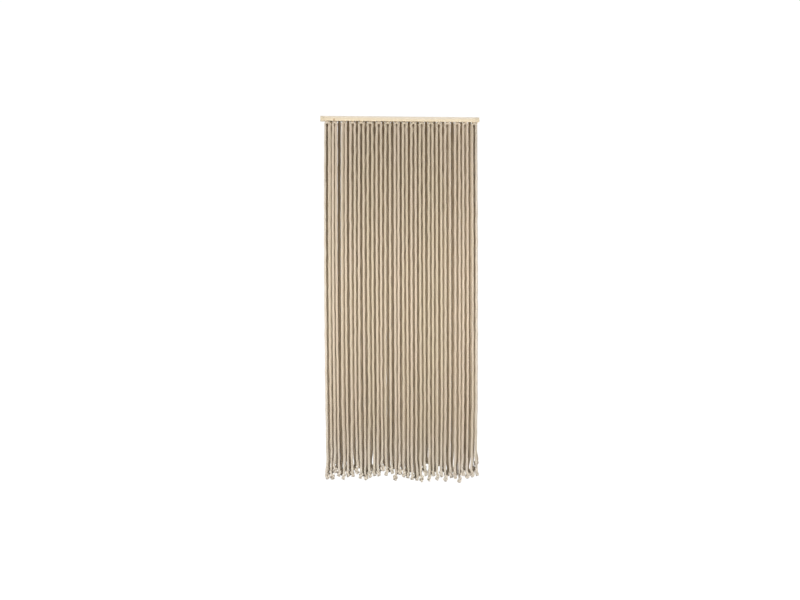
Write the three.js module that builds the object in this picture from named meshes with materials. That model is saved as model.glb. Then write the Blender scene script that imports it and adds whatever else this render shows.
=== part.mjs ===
// A rope door curtain with its wooden rail, in millimetres, +Z up.
//
// Two rows of soft ropes hang from the underside of a rail. Each rope is folded in half, so that
// it has an arch at the rail and two legs, and each leg ends in a stopper knot. The back row is
// staggered: its legs hang behind the gaps of the front row, and its arches sit up in a groove of the
// rail. The lay of the rope's strands is finer than this model, so a rope is a plain octagonal cord
// here, with swellings for its knots.
//
// The origin is the centre of the rail's back face. X runs along the rail, and the front faces -Y.

import * as THREE from "three";

// The rail, a planed batten with its long edges broken.
const RAIL_WIDTH = 900;
const RAIL_HEIGHT = 26;
const RAIL_DEPTH = 44;
const RAIL_CHAMFER = 1.5;
const RAIL_UNDERSIDE = -RAIL_HEIGHT / 2;

// The groove along the underside, which takes the arches of the back row.
const GROOVE_BACK_LIP = 4;
const GROOVE_WIDTH = 16;
const GROOVE_DEPTH = 15;

// The rope.
const ROPE_RADIUS = 7;
const ROPE_SIDES = 8;

// The arch of a loop: its crown sits against the wood, and it draws in to a neck below. The arch and
// the neck are a little wider and narrower than the legs are apart.
const SEAT_GAP = 0.3;
const ARCH_RISE = 12;
const ARCH_STEPS = 4;
const ARCH_SHARE = 1.08;
const NECK_DEPTH = 42;
const NECK_SHARE = 0.86;

// The two rows. y is where a row's ropes hang, counted from the rail's back face. crown is how far
// the middle of the rope at the top of an arch is below the rail's underside. shares are the depths
// of a leg's stations between its arch and its knot, as shares of the whole drop, and keyhole says
// whether the arches are wide and draw in to necks.
const FRONT_ROW = {
  name: "front",
  y: -35,
  crown: SEAT_GAP + ROPE_RADIUS,
  shares: [0.74, 0.42, 0.043],
  keyhole: true,
};
const BACK_ROW = {
  name: "back",
  y: -GROOVE_BACK_LIP - GROOVE_WIDTH / 2,
  crown: SEAT_GAP + ROPE_RADIUS - GROOVE_DEPTH,
  shares: [0.6],
  keyhole: false,
};
const LOOP_PITCH = 49;

// A stopper knot: the heights of its rings above its middle and their radii, from its foot up to
// the plain rope, and how far its tip is below its middle.
const KNOT_RINGS = [
  { above: -14, radius: 8.5 },
  { above: 0, radius: 11.5 },
  { above: 17, radius: ROPE_RADIUS },
];
const KNOT_TIP = 18;

// Neighbouring knots of the front row swing this far to the front and to the back in turn.
const KNOT_STAGGER = 3;
// The loops at both ends of the front row are turned, which sets their outer legs back at the top.
const EDGE_TURN = 8;
// Both edges of the curtain belly out this far half-way down.
const BELLY = 3;
// A leg bows out most at this height above its knot.
const BOW_ABOVE = 80;
const BOW_AT_KNOT = 0.4;

// The front row, a line for each loop from left to right. shift is how far the loop hangs from its
// regular place, spread is how far apart its legs are, drift is how far the left and the right leg's
// knots hang to the right of plumb, bow is how far each leg bows out to the right above its knot, and
// drop is how far those knots are below the rail.
const FRONT_LOOPS = [
  { shift: 6, spread: 22.5, drift: [13, 15], bow: [0, 0], drop: [1997, 2002] },
  { shift: -1.5, spread: 19, drift: [15, 16], bow: [-2, -1.5], drop: [1973, 1981] },
  { shift: 2, spread: 21, drift: [5, 11], bow: [7, 2], drop: [2002, 1986] },
  { shift: 1.5, spread: 25, drift: [13, 9], bow: [-3, 4], drop: [1988, 1970] },
  { shift: 1, spread: 25.5, drift: [8, 12], bow: [3, 0], drop: [1998, 2005] },
  { shift: 1.5, spread: 26, drift: [16, 11], bow: [-7, 1], drop: [1989, 1984] },
  { shift: 2, spread: 25, drift: [12, 5], bow: [-4, 4], drop: [1983, 1962] },
  { shift: 3, spread: 26, drift: [2, 8], bow: [2, -2.5], drop: [1984, 1974] },
  { shift: 4.5, spread: 21.5, drift: [9, 4], bow: [-3, 2.5], drop: [2012, 1981] },
  { shift: 1.5, spread: 21.5, drift: [7, 12], bow: [-2, -3], drop: [1992, 1998] },
  { shift: 1.5, spread: 24.5, drift: [6, 7], bow: [-2.5, -2], drop: [2010, 2013] },
  { shift: 0, spread: 23, drift: [10, 9], bow: [-4, -4], drop: [2018, 1986] },
  { shift: 1, spread: 22.5, drift: [2, 4], bow: [2, -2], drop: [2014, 1989] },
  { shift: -1, spread: 24.5, drift: [4, 7], bow: [-1.5, -5], drop: [2012, 1994] },
  { shift: -1, spread: 26.5, drift: [3, 3], bow: [-4, -4.5], drop: [2017, 2000] },
  { shift: 5, spread: 24, drift: [1, 2], bow: [-1, -1.5], drop: [2002, 2027] },
  { shift: 2, spread: 24, drift: [-1, 2], bow: [-3, -3.5], drop: [1991, 2003] },
  { shift: 3.5, spread: 22, drift: [2, -2], bow: [-4.5, 0], drop: [1996, 1990] },
];

// The back row hangs a little further right than the middles of the gaps in front of it.
const BACK_SHIFT = 1.5;
// A back leg's knot sits this far above the higher one of the two front knots that it hangs behind,
// and higher still where it would press on the back knot to its left.
const BACK_KNOT_ABOVE = 6;
const BACK_KNOT_APART = 17;
// Two of the back legs, counted from the left, were cut shorter.
const SHORT_BACK_LEGS = [
  { leg: 23, by: 30 },
  { leg: 26, by: 50 },
];
// The last two legs of the back row share the last gap: this far apart, and the second one shorter.
const LAST_BACK_LEGS = { inward: 3, apart: 15, above: 32 };

const material = (color, roughness) => new THREE.MeshStandardMaterial({ color, roughness, metalness: 0 });

function railMesh() {
  const z = RAIL_HEIGHT / 2;
  const c = RAIL_CHAMFER;
  const groove = [GROOVE_BACK_LIP, GROOVE_BACK_LIP + GROOVE_WIDTH];
  const section = new THREE.Shape([
    new THREE.Vector2(0, -z + c),
    new THREE.Vector2(c, -z),
    new THREE.Vector2(groove[0], -z),
    new THREE.Vector2(groove[0], -z + GROOVE_DEPTH),
    new THREE.Vector2(groove[1], -z + GROOVE_DEPTH),
    new THREE.Vector2(groove[1], -z),
    new THREE.Vector2(RAIL_DEPTH - c, -z),
    new THREE.Vector2(RAIL_DEPTH, -z + c),
    new THREE.Vector2(RAIL_DEPTH, z - c),
    new THREE.Vector2(RAIL_DEPTH - c, z),
    new THREE.Vector2(c, z),
    new THREE.Vector2(0, z - c),
  ]);
  const batten = new THREE.ExtrudeGeometry(section, { depth: RAIL_WIDTH, steps: 1, bevelEnabled: false });
  // The section is drawn in X and Y. Turned, its depth runs towards -Y and its length along X.
  batten.translate(0, 0, -RAIL_WIDTH / 2);
  batten.rotateX(Math.PI / 2);
  batten.rotateZ(-Math.PI / 2);
  const mesh = new THREE.Mesh(batten, material("#e6d8bc", 0.7));
  mesh.name = "rail";
  return mesh;
}

// The legs of the front row, left to right: where each hangs under the rail, how far its knot is to
// the right (drift) and to the back (sway) of that place, how far it bows, and how deep it hangs.
function frontLegs() {
  return FRONT_LOOPS.flatMap((loop, i) => {
    const middle = (i - (FRONT_LOOPS.length - 1) / 2) * LOOP_PITCH + loop.shift;
    return [-1, 1].map((side, leg) => {
      const outermost = i === 0 ? side < 0 : i === FRONT_LOOPS.length - 1 && side > 0;
      return {
        x: middle + (side * loop.spread) / 2,
        y: FRONT_ROW.y + (outermost ? EDGE_TURN : 0),
        drift: loop.drift[leg],
        sway: outermost ? -EDGE_TURN : side * KNOT_STAGGER,
        bow: loop.bow[leg],
        drop: loop.drop[leg],
      };
    });
  });
}

// The legs of the back row, each behind a gap of the front row.
function backLegs(front) {
  let neighbour = 0;
  const legs = front.slice(1).map((right, i) => {
    const left = front[i];
    let drop = Math.min(left.drop, right.drop) - BACK_KNOT_ABOVE;
    if (Math.abs(drop - neighbour) < BACK_KNOT_APART) drop = neighbour - BACK_KNOT_APART;
    neighbour = drop;
    const x = (left.x + right.x) / 2 + BACK_SHIFT;
    return { x, y: BACK_ROW.y, drift: (left.drift + right.drift) / 2, sway: 0, bow: 0, drop };
  });
  for (const { leg, by } of SHORT_BACK_LEGS) legs[leg].drop -= by;
  const last = legs.at(-1);
  last.x -= LAST_BACK_LEGS.inward;
  legs.push({ ...last, x: last.x + LAST_BACK_LEGS.apart, drop: last.drop - LAST_BACK_LEGS.above });
  return legs;
}

// The stations of one leg, from the tip of its knot upwards. A leg leaves plumb slowly, with the
// square of the depth.
function legStations(leg, neckX, row) {
  const at = (depth, radius = ROPE_RADIUS, bow = 0) => {
    const swing = (depth / leg.drop) ** 2;
    const belly = ((BELLY * leg.x * 2) / RAIL_WIDTH) * Math.sin(Math.PI * Math.min(depth / leg.drop, 1));
    const centre = new THREE.Vector3(leg.x + belly + bow * leg.bow, leg.y, RAIL_UNDERSIDE - depth);
    return { centre: centre.add(new THREE.Vector3(leg.drift, leg.sway, 0).multiplyScalar(swing)), radius };
  };
  const stations = [
    at(leg.drop + KNOT_TIP, 0),
    ...KNOT_RINGS.map((ring) => at(leg.drop - ring.above, ring.radius, ring.above > 0 ? BOW_AT_KNOT : 0)),
    ...(leg.bow === 0 ? [] : [at(leg.drop - BOW_ABOVE, ROPE_RADIUS, 1)]),
    ...row.shares.map((share) => at(leg.drop * share)),
  ];
  if (row.keyhole) {
    const neck = at(NECK_DEPTH);
    neck.centre.x = neckX;
    stations.push(neck);
  }
  return stations;
}

// A whole rope: up the left leg, over the arch, and down the right leg.
function ropeStations(left, right, row) {
  const middle = new THREE.Vector3((left.x + right.x) / 2, (left.y + right.y) / 2, 0);
  const reach = new THREE.Vector3((right.x - left.x) / 2, (right.y - left.y) / 2, 0);
  const neck = reach.x * NECK_SHARE;
  const arch = [];
  for (let i = 0; i <= ARCH_STEPS; i++) {
    const turn = Math.PI * (1 - i / ARCH_STEPS);
    const across = Math.cos(turn) * (row.keyhole ? ARCH_SHARE : 1);
    const centre = middle.clone().addScaledVector(reach, across);
    centre.z = RAIL_UNDERSIDE - row.crown - ARCH_RISE * (1 - Math.sin(turn));
    arch.push({ centre, radius: ROPE_RADIUS });
  }
  return [
    ...legStations(left, middle.x - neck, row),
    ...arch,
    ...legStations(right, middle.x + neck, row).reverse(),
  ];
}

// A lathe turned with one ring for each station, whose rings are then laid across the rope.
function ropeMesh(name, stations) {
  const profile = stations.map((station, i) => new THREE.Vector2(station.radius, i));
  const geometry = new THREE.LatheGeometry(profile, ROPE_SIDES);
  const position = geometry.getAttribute("position");
  const depthwise = new THREE.Vector3(0, 1, 0);
  const last = stations.length - 1;
  for (let i = 0; i < position.count; i++) {
    const ring = Math.round(position.getY(i));
    const before = stations[Math.max(ring - 1, 0)].centre;
    const after = stations[Math.min(ring + 1, last)].centre;
    const along = after.clone().sub(before).normalize();
    const across = along.clone().cross(depthwise).normalize();
    const outward = across.clone().cross(along);
    const vertex = stations[ring].centre
      .clone()
      .addScaledVector(across, position.getX(i))
      .addScaledVector(outward, position.getZ(i));
    position.setXYZ(i, vertex.x, vertex.y, vertex.z);
  }
  const mesh = new THREE.Mesh(geometry, material("#d6c6aa", 0.95));
  mesh.name = name;
  return mesh;
}

// One row of ropes. Its legs are taken two by two, and each pair is one rope.
function ropeRow(row, legs) {
  const ropes = new THREE.Group();
  for (let i = 0; i < legs.length; i += 2) {
    const number = String(i / 2 + 1).padStart(2, "0");
    ropes.add(ropeMesh(`${row.name}_rope_${number}`, ropeStations(legs[i], legs[i + 1], row)));
  }
  return ropes;
}

const front = frontLegs();
const curtain = new THREE.Group();
curtain.add(railMesh());
curtain.add(ropeRow(FRONT_ROW, front));
curtain.add(ropeRow(BACK_ROW, backLegs(front)));

export default curtain;
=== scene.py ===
"""The finished look of a rope door curtain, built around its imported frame.

Thirty-six soft cotton ropes hang in two rows from the underside of a wooden rail. Each rope is one
length, folded in half under the rail and knotted at both ends. Every size is in metres, in the
frame's own axes: X along the rail, the front towards -Y, +Z up.
"""

import logging
import math
from collections.abc import Callable
from dataclasses import dataclass
from enum import Enum

import bpy
import numpy as np
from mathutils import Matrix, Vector


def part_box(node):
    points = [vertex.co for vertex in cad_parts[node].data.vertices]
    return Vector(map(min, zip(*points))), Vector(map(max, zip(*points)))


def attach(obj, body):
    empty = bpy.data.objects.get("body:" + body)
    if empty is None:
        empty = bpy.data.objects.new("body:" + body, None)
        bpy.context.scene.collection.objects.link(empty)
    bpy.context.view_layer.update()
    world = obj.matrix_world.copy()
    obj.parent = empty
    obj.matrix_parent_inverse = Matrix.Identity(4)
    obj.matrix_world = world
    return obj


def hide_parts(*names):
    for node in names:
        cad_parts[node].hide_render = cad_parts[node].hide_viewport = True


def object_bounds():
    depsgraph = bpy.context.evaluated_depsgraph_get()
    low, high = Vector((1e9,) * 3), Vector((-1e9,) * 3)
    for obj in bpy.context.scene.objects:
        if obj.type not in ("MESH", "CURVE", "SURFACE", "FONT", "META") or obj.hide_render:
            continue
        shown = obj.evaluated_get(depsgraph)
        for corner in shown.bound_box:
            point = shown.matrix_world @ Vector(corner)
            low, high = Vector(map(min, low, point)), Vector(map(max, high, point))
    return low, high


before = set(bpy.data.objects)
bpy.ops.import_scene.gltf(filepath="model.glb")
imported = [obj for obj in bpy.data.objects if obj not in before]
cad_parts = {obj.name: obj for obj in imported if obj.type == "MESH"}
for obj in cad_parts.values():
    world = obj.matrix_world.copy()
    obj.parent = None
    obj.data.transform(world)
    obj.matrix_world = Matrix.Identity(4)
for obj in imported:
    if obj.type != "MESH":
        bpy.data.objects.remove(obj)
CAD_LOW, CAD_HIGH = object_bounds()
RAIL_LOW, RAIL_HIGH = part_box("rail")

BODY = "root"

log = logging.getLogger("curtain")


# ---------------------------------------------------------------------------------------------
# The ropes as they hang
# ---------------------------------------------------------------------------------------------


class Side(Enum):
    """A loop's two legs, seen from the front."""

    LEFT = -1
    RIGHT = 1


class Row(Enum):
    """The two rows of ropes.

    y is where a row hangs, counted from the rail's back face, and crown how far the middle of the
    rope at the top of an arch is below the rail's underside. The back row's arches sit up in the
    groove of the rail.
    """

    FRONT = (-0.035, 0.0073)
    BACK = (-0.012, -0.0077)

    def __init__(self, y: float, crown: float) -> None:
        """Takes the row's sizes from its value."""
        self.y = y
        self.crown = crown

    @property
    def arch_foot(self) -> float:
        """How far below the rail's underside the arches end and the legs begin."""
        return self.crown + ARCH_RISE

    @property
    def label(self) -> str:
        """The row's name in the names of its pieces."""
        return self.name.lower()


@dataclass(frozen=True)
class Loop:
    """One rope of the front row, as its two legs hang.

    shift is how far the loop hangs from its regular place, spread how far apart its legs are under
    the arch, drift how far each knot hangs to the right of plumb, and drop how far it is below the
    rail. bow is how far each leg swings out to the right just above its knot, and tail how many
    degrees each knot's tail points to the right of straight down.
    """

    shift: float
    spread: float
    drift: tuple[float, float]
    drop: tuple[float, float]
    bow: tuple[float, float]
    tail: tuple[float, float]


FRONT_LOOPS = (
    Loop(0.006, 0.0225, (0.013, 0.015), (1.997, 2.002), (0.000, 0.000), (-35, -25)),
    Loop(-0.0015, 0.019, (0.015, 0.016), (1.973, 1.981), (-0.002, -0.0015), (15, -15)),
    Loop(0.002, 0.021, (0.005, 0.011), (2.002, 1.986), (0.007, 0.002), (-40, 5)),
    Loop(0.0015, 0.025, (0.013, 0.009), (1.988, 1.970), (-0.003, 0.004), (0, -15)),
    Loop(0.001, 0.0255, (0.008, 0.012), (1.998, 2.005), (0.003, 0.000), (-25, -10)),
    Loop(0.0015, 0.026, (0.016, 0.011), (1.989, 1.984), (-0.007, 0.001), (40, -25)),
    Loop(0.002, 0.025, (0.012, 0.005), (1.983, 1.962), (-0.004, 0.004), (-5, -40)),
    Loop(0.003, 0.026, (0.002, 0.008), (1.984, 1.974), (0.002, -0.0025), (-25, 20)),
    Loop(0.0045, 0.0215, (0.009, 0.004), (2.012, 1.981), (-0.003, 0.0025), (0, -15)),
    Loop(0.0015, 0.0215, (0.007, 0.012), (1.992, 1.998), (-0.002, -0.003), (0, 20)),
    Loop(0.0015, 0.0245, (0.006, 0.007), (2.010, 2.013), (-0.0025, -0.002), (-15, 5)),
    Loop(0.000, 0.023, (0.010, 0.009), (2.018, 1.986), (-0.004, -0.004), (35, 15)),
    Loop(0.001, 0.0225, (0.002, 0.004), (2.014, 1.989), (0.002, -0.002), (-10, 40)),
    Loop(-0.001, 0.0245, (0.004, 0.007), (2.012, 1.994), (-0.0015, -0.005), (20, 40)),
    Loop(-0.001, 0.0265, (0.003, 0.003), (2.017, 2.000), (-0.004, -0.0045), (5, 0)),
    Loop(0.005, 0.024, (0.001, 0.002), (2.002, 2.027), (-0.001, -0.0015), (20, -5)),
    Loop(0.002, 0.024, (-0.001, 0.002), (1.991, 2.003), (-0.003, -0.0035), (15, 5)),
    Loop(0.0035, 0.022, (0.002, -0.002), (1.996, 1.990), (-0.0045, 0.000), (40, 20)),
)

# The front row: loops a pitch apart, whose left and right knots hang staggered. The outermost legs
# are turned back at the top.
LOOP_PITCH = 0.049
KNOT_STAGGER = 0.003
EDGE_TURN = 0.008
ARCH_RISE = 0.012
ARCH_POINTS = 40
ARCH_SHARE = 1.08
NECK_SHARE = 0.86


# The back row: each leg hangs behind a gap, a little shifted. Two legs are shorter, by their numbers
# counted from 0, and the last two share one gap.
BACK_SHIFT = 0.0015
BACK_WIDER = 0.0015
BACK_KNOT_FORWARD = 0.002
FIRST_BACK_LEG_FORWARD = 0.010
OUTERMOST_GREY = 0.7
BACK_KNOT_ABOVE = 0.006
BACK_KNOT_APART = 0.017
SHORT_BACK_LEGS = {23: 0.030, 26: 0.050}
LAST_BACK_LEGS_INWARD = 0.003
LAST_BACK_LEGS_APART = 0.015
LAST_BACK_LEG_ABOVE = 0.032
BACK_TAIL_LEAN = 30.0


@dataclass
class Leg:
    """One half of a rope, from its arch down to its knot.

    x and y are where it leaves its arch, and sway is how far back its knot hangs from there. grey is
    how greyed it is. The other values are those of its loop.
    """

    x: float
    y: float
    drift: float
    sway: float
    drop: float
    bow: float
    tail: float
    grey: float = 0.0

    @property
    def knot_middle(self) -> np.ndarray:
        """The middle of the leg's knot."""
        return np.array([self.x + self.drift, self.y + self.sway, RAIL_LOW.z - self.drop])


def front_legs() -> list[Leg]:
    """The legs of the front row, left to right.

    Returns:
        Two legs for each loop of the table.
    """
    legs = []
    last = len(FRONT_LOOPS) - 1
    for i, loop in enumerate(FRONT_LOOPS):
        middle = (i - last / 2) * LOOP_PITCH + loop.shift
        for k, side in enumerate(Side):
            outermost = (i, side) in ((0, Side.LEFT), (last, Side.RIGHT))
            legs.append(
                Leg(
                    x=middle + side.value * loop.spread / 2,
                    y=Row.FRONT.y + (EDGE_TURN if outermost else 0.0),
                    drift=loop.drift[k],
                    sway=-EDGE_TURN if outermost else side.value * KNOT_STAGGER,
                    drop=loop.drop[k],
                    bow=loop.bow[k],
                    tail=loop.tail[k],
                    grey=OUTERMOST_GREY if outermost else 0.0,
                )
            )
    return legs


def back_legs(front: list[Leg], rng: np.random.Generator) -> list[Leg]:
    """The legs of the back row, each behind the middle of a gap of the front row.

    Args:
        front: The legs of the front row, left to right.
        rng: The source of the tails' directions.

    Returns:
        As many legs as the front row has. The last two share the last gap.
    """
    legs = []
    neighbour = 0.0
    for left, right in zip(front, front[1:]):
        drop = min(left.drop, right.drop) - BACK_KNOT_ABOVE
        if abs(drop - neighbour) < BACK_KNOT_APART:
            drop = neighbour - BACK_KNOT_APART
        neighbour = drop
        lean = float(rng.uniform(-BACK_TAIL_LEAN, BACK_TAIL_LEAN))
        gap = (left.x + right.x) / 2
        x = gap + BACK_SHIFT + BACK_WIDER * gap / RAIL_HIGH.x
        drift = (left.drift + right.drift) / 2
        legs.append(Leg(x, Row.BACK.y, drift, -BACK_KNOT_FORWARD, drop, 0.0, lean))
    for number, shorter in SHORT_BACK_LEGS.items():
        legs[number].drop -= shorter
    legs[0].sway = -FIRST_BACK_LEG_FORWARD
    end = legs[-1]
    end.x -= LAST_BACK_LEGS_INWARD
    x = end.x + LAST_BACK_LEGS_APART
    drop = end.drop - LAST_BACK_LEG_ABOVE
    legs.append(Leg(x, end.y, end.drift, end.sway, drop, 0.0, -BACK_TAIL_LEAN))
    return legs


# ---------------------------------------------------------------------------------------------
# Lines and small helpers
# ---------------------------------------------------------------------------------------------


def ease(t: np.ndarray | float) -> np.ndarray | float:
    """Goes from 0 to 1 with t, level at both ends."""
    t = np.clip(t, 0.0, 1.0)
    return t * t * (3 - 2 * t)


def run_lengths(points: np.ndarray) -> np.ndarray:
    """The length along a line of points up to each of them."""
    steps = np.linalg.norm(np.diff(points, axis=0), axis=1)
    return np.concatenate([[0.0], np.cumsum(steps)])


def points_at(points: np.ndarray, runs: np.ndarray) -> np.ndarray:
    """The places on a line of points at the given lengths along it."""
    own = run_lengths(points)
    return np.stack([np.interp(runs, own, points[:, k]) for k in range(3)], axis=1)


def unit(vectors: np.ndarray) -> np.ndarray:
    """The vectors, each made one long."""
    return vectors / np.maximum(np.linalg.norm(vectors, axis=-1, keepdims=True), 1e-12)


class Wander:
    """A smooth, seeded wandering of about one unit, made of a few waves."""

    def __init__(self, rng: np.random.Generator, periods: tuple[float, ...]) -> None:
        """Draws the waves.

        Args:
            rng: The source of the waves' phases and sizes.
            periods: The lengths of the waves, in metres.
        """
        self.periods = np.array(periods) * rng.uniform(0.85, 1.15, len(periods))
        self.phases = rng.uniform(0, 2 * math.pi, len(periods))
        self.sizes = rng.uniform(0.5, 1.0, len(periods))

    def __call__(self, run: np.ndarray) -> np.ndarray:
        """The wandering at these lengths along a line."""
        turns = 2 * math.pi * np.asarray(run)[:, None] / self.periods + self.phases
        return (np.sin(turns) * self.sizes).sum(axis=1) / math.sqrt(len(self.periods))


# ---------------------------------------------------------------------------------------------
# The stopper knot
# ---------------------------------------------------------------------------------------------


@dataclass(frozen=True)
class KnotPath:
    """A tight overhand knot's centreline, in units of the rope's thickness, about its middle.

    The line enters at the top and leaves at the bottom, and tail_start is the point where it has
    left the last of its turns.
    """

    line: np.ndarray
    tail_start: int


class KnotTying:
    """Ties overhand knots: a loose one is laid by formula and its rope is then pulled tight."""

    POINTS = 72
    REACH = 2.15
    LOOSE_SIZE = 0.62
    ROUNDS = 700
    STIFFNESS = 0.18
    CORE = 1.25
    PULLING_SHARE = 0.75
    SAME_TURN = 1.45
    LENGTH_FIX = 0.45
    PUSH = 0.25
    CENTRING = 0.8

    def loose(self) -> np.ndarray:
        """The line of a loose, long trefoil whose ends run up and down."""
        t = np.linspace(-self.REACH, self.REACH, self.POINTS * 8)
        line = np.stack([t**3 - 3 * t, t**4 - 4 * t**2, (t**5 - 10 * t) / 3.2], axis=1)
        line *= self.LOOSE_SIZE
        line = points_at(line, np.linspace(0, run_lengths(line)[-1], self.POINTS))
        return line if line[0, 2] > line[-1, 2] else line[::-1].copy()

    def tighten(self, line: np.ndarray, length: float) -> np.ndarray:
        """Pulls the rope through until its line has a given length.

        Args:
            line: The loose knot.
            length: The tight knot's length of rope, ends included, in thicknesses.

        Returns:
            The tight knot, whose turns lie on each other.
        """
        first, second = np.triu_indices(self.POINTS, 1)
        start = run_lengths(line)[-1]
        for n in range(self.ROUNDS):
            now = start + (length - start) * min(1.0, n / (self.ROUNDS * self.PULLING_SHARE))
            step = now / (self.POINTS - 1)
            line[1:-1] += self.STIFFNESS * ((line[:-2] + line[2:]) / 2 - line[1:-1])
            far = (second - first) >= math.ceil(self.SAME_TURN / step)
            pairs = first[far], second[far]
            for _ in range(3):
                self._keep_length(line, step)
                self._push_apart(line, *pairs)
            line[[0, -1], :2] *= self.CENTRING
        return line

    @staticmethod
    def _keep_length(line: np.ndarray, step: float) -> None:
        """Moves neighbouring points of the line towards their right distance."""
        along = np.diff(line, axis=0)
        span = np.linalg.norm(along, axis=1, keepdims=True)
        move = KnotTying.LENGTH_FIX * (span - step) / span * along
        line[:-1] += move
        line[1:] -= move

    @staticmethod
    def _push_apart(line: np.ndarray, first: np.ndarray, second: np.ndarray) -> None:
        """Moves points of different turns apart until they are one thickness from each other."""
        between = line[second] - line[first]
        span = np.linalg.norm(between, axis=1)
        near = span < 1.0
        first, second, between, span = first[near], second[near], between[near], span[near]
        push = (KnotTying.PUSH * (1.0 - span) / np.maximum(span, 1e-6))[:, None] * between
        np.add.at(line, first, -push)
        np.add.at(line, second, push)

    def tie(self, length: float) -> KnotPath:
        """Ties one knot.

        Args:
            length: How much rope is in it, in thicknesses: less is tighter.

        Returns:
            The knot about the middle of its turns.
        """
        line = self.tighten(self.loose(), length)
        turns = np.abs(line[:, 2]) < self.CORE
        middle = (line[turns].max(axis=0) + line[turns].min(axis=0)) / 2
        line = line - np.array([middle[0], middle[1], 0.0])
        inside = np.flatnonzero(line[:, 2] > -self.CORE)
        return KnotPath(line, int(inside[-1]))


# ---------------------------------------------------------------------------------------------
# One rope
# ---------------------------------------------------------------------------------------------


@dataclass(frozen=True)
class RopeStock:
    """The soft three-strand cotton rope that every loop is cut from.

    ridge is its radius where it hangs in the front row, back_ridges the least and the greatest in the
    back row, where it laps the front legs by back_lap, and arch_ridge its radius in the arches. lay is
    the length in which its strands turn round once.
    """

    diameter: float = 0.014
    cut_length: float = 4.26
    lay: float = 0.048
    strands: int = 3
    columns: int = 12
    ridge: float = 0.0070
    back_ridges: tuple[float, float] = (0.0085, 0.0093)
    back_lap: float = 0.0018
    leg_room: float = 0.0002
    arch_ridge: float = 0.0070
    groove_depth: float = 0.14
    back_groove_depth: float = 0.09
    knotted_thickness: float = 0.0090
    knotted_ridge: float = 0.0056
    leg_step: float = 0.005
    arch_step: float = 0.0028
    knot_step: float = 0.0022


STOCK = RopeStock()
NECK_DEPTH = 0.042
NECK_END = 0.090
BELLY = 0.003
BOW_LENGTH = 0.40
KNOT_APPROACH = 0.045
KNOT_MARGIN = 0.01
KNOT_GIVES_WAY = {Row.FRONT: 0.5, Row.BACK: 0.6}
TAIL_LENGTH = (0.3, 0.9)
TAIL_SLANT = 0.35
TAIL_STEP = 0.15
TAIL_BEND = 0.45
LINE_STEP = 0.002
JOIN_POINTS = 12
JOIN_ROUNDS = 6
TURN_CHOICES = 16
KNOT_ZONE = 1.75
ZONE_STEP = 0.004
STRAY_COST = 3
KNOT_HALF = 0.020
NEARBY = 0.03
GAP_FOLLOWED_OVER = 0.05
WALL_CLEARANCE = 0.0070
CURTAIN_REACH = 0.434


@dataclass
class TiedLeg:
    """A leg's centreline with its knot: from the arch's foot down to the tip of the tail."""

    line: np.ndarray
    knot_start: float
    tip_run: float

    def measure(self) -> None:
        """Measures the line anew after its knot has been moved."""
        longer = float(run_lengths(self.line)[-1]) - self.tip_run
        self.knot_start += longer
        self.tip_run += longer


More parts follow.
